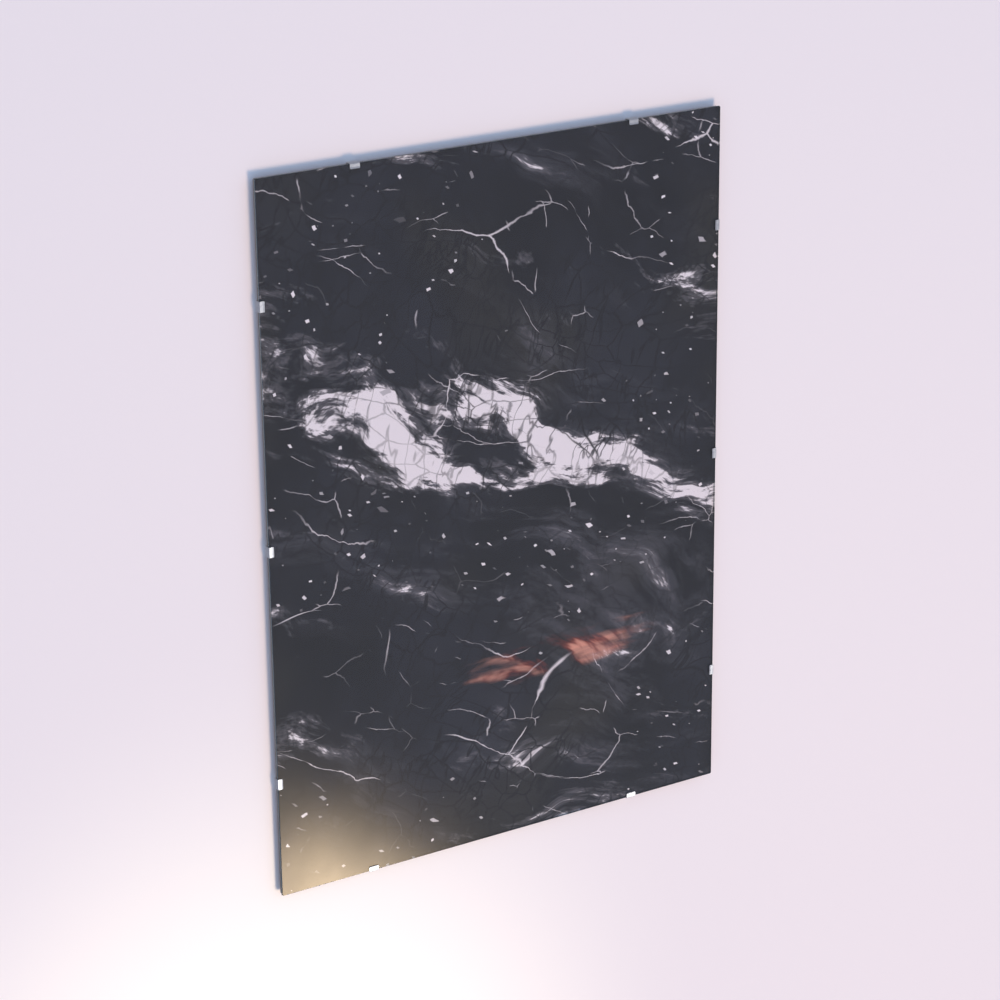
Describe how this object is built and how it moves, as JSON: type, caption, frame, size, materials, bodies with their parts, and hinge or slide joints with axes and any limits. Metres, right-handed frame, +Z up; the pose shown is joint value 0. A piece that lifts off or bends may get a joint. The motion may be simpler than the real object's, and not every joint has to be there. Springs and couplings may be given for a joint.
{
  "type": "clip frame",
  "caption": "Frameless clip picture frame: a glass pane, a print and a hardboard back gripped at their edges by sprung steel clips that slide outwards to let them go.",
  "frame": {"origin": "on the wall plane, behind the middle notch of the upper hanger, where the nail leaves the wall", "axes": "+X to the right as seen from the front, +Y into the wall, +Z up; the glass faces -Y"},
  "size_m": [0.5016, 0.0108, 0.7016],
  "materials": {
    "glass": "clear polished float glass with ground edges",
    "picture": "printed paper, dark slate with pale flecks and a warm accent",
    "hardboard": "brown hardboard, smooth pressed face with fine fibres",
    "spring_steel": "bright plated spring steel strip",
    "zinc_plate": "zinc-plated pressed steel",
    "rivet": "brass-plated hollow rivet",
    "pad": "matt black rubber"
  },
  "bodies": {
    "panel": {"glass_pane": "glass", "art_print": "picture", "back_board": "hardboard", "hanger_portrait": "zinc_plate", "hanger_landscape": "zinc_plate", "hanger_rivets": "rivet", "wall_pad_left": "pad", "wall_pad_right": "pad"},
    "clip_top_left": {"clip_top_left": "spring_steel"},
    "clip_top_right": {"clip_top_right": "spring_steel"},
    "clip_right_upper": {"clip_right_upper": "spring_steel"},
    "clip_right_middle": {"clip_right_middle": "spring_steel"},
    "clip_right_lower": {"clip_right_lower": "spring_steel"},
    "clip_bottom_right": {"clip_bottom_right": "spring_steel"},
    "clip_bottom_left": {"clip_bottom_left": "spring_steel"},
    "clip_left_lower": {"clip_left_lower": "spring_steel"},
    "clip_left_middle": {"clip_left_middle": "spring_steel"},
    "clip_left_upper": {"clip_left_upper": "spring_steel"}
  },
  "joints": [
    {"name": "clip_top_left_slide", "type": "slide", "parent": "panel", "child": "clip_top_left", "axis": [0, 0, 1], "range_m": [0, 0.007]},
    {"name": "clip_top_right_slide", "type": "slide", "parent": "panel", "child": "clip_top_right", "axis": [0, 0, 1], "range_m": [0, 0.007]},
    {"name": "clip_right_upper_slide", "type": "slide", "parent": "panel", "child": "clip_right_upper", "axis": [1, 0, 0], "range_m": [0, 0.007]},
    {"name": "clip_right_middle_slide", "type": "slide", "parent": "panel", "child": "clip_right_middle", "axis": [1, 0, 0], "range_m": [0, 0.007]},
    {"name": "clip_right_lower_slide", "type": "slide", "parent": "panel", "child": "clip_right_lower", "axis": [1, 0, 0], "range_m": [0, 0.007]},
    {"name": "clip_bottom_right_slide", "type": "slide", "parent": "panel", "child": "clip_bottom_right", "axis": [0, 0, -1], "range_m": [0, 0.007]},
    {"name": "clip_bottom_left_slide", "type": "slide", "parent": "panel", "child": "clip_bottom_left", "axis": [0, 0, -1], "range_m": [0, 0.007]},
    {"name": "clip_left_lower_slide", "type": "slide", "parent": "panel", "child": "clip_left_lower", "axis": [-1, 0, 0], "range_m": [0, 0.007]},
    {"name": "clip_left_middle_slide", "type": "slide", "parent": "panel", "child": "clip_left_middle", "axis": [-1, 0, 0], "range_m": [0, 0.007]},
    {"name": "clip_left_upper_slide", "type": "slide", "parent": "panel", "child": "clip_left_upper", "axis": [-1, 0, 0], "range_m": [0, 0.007]}
  ]
}
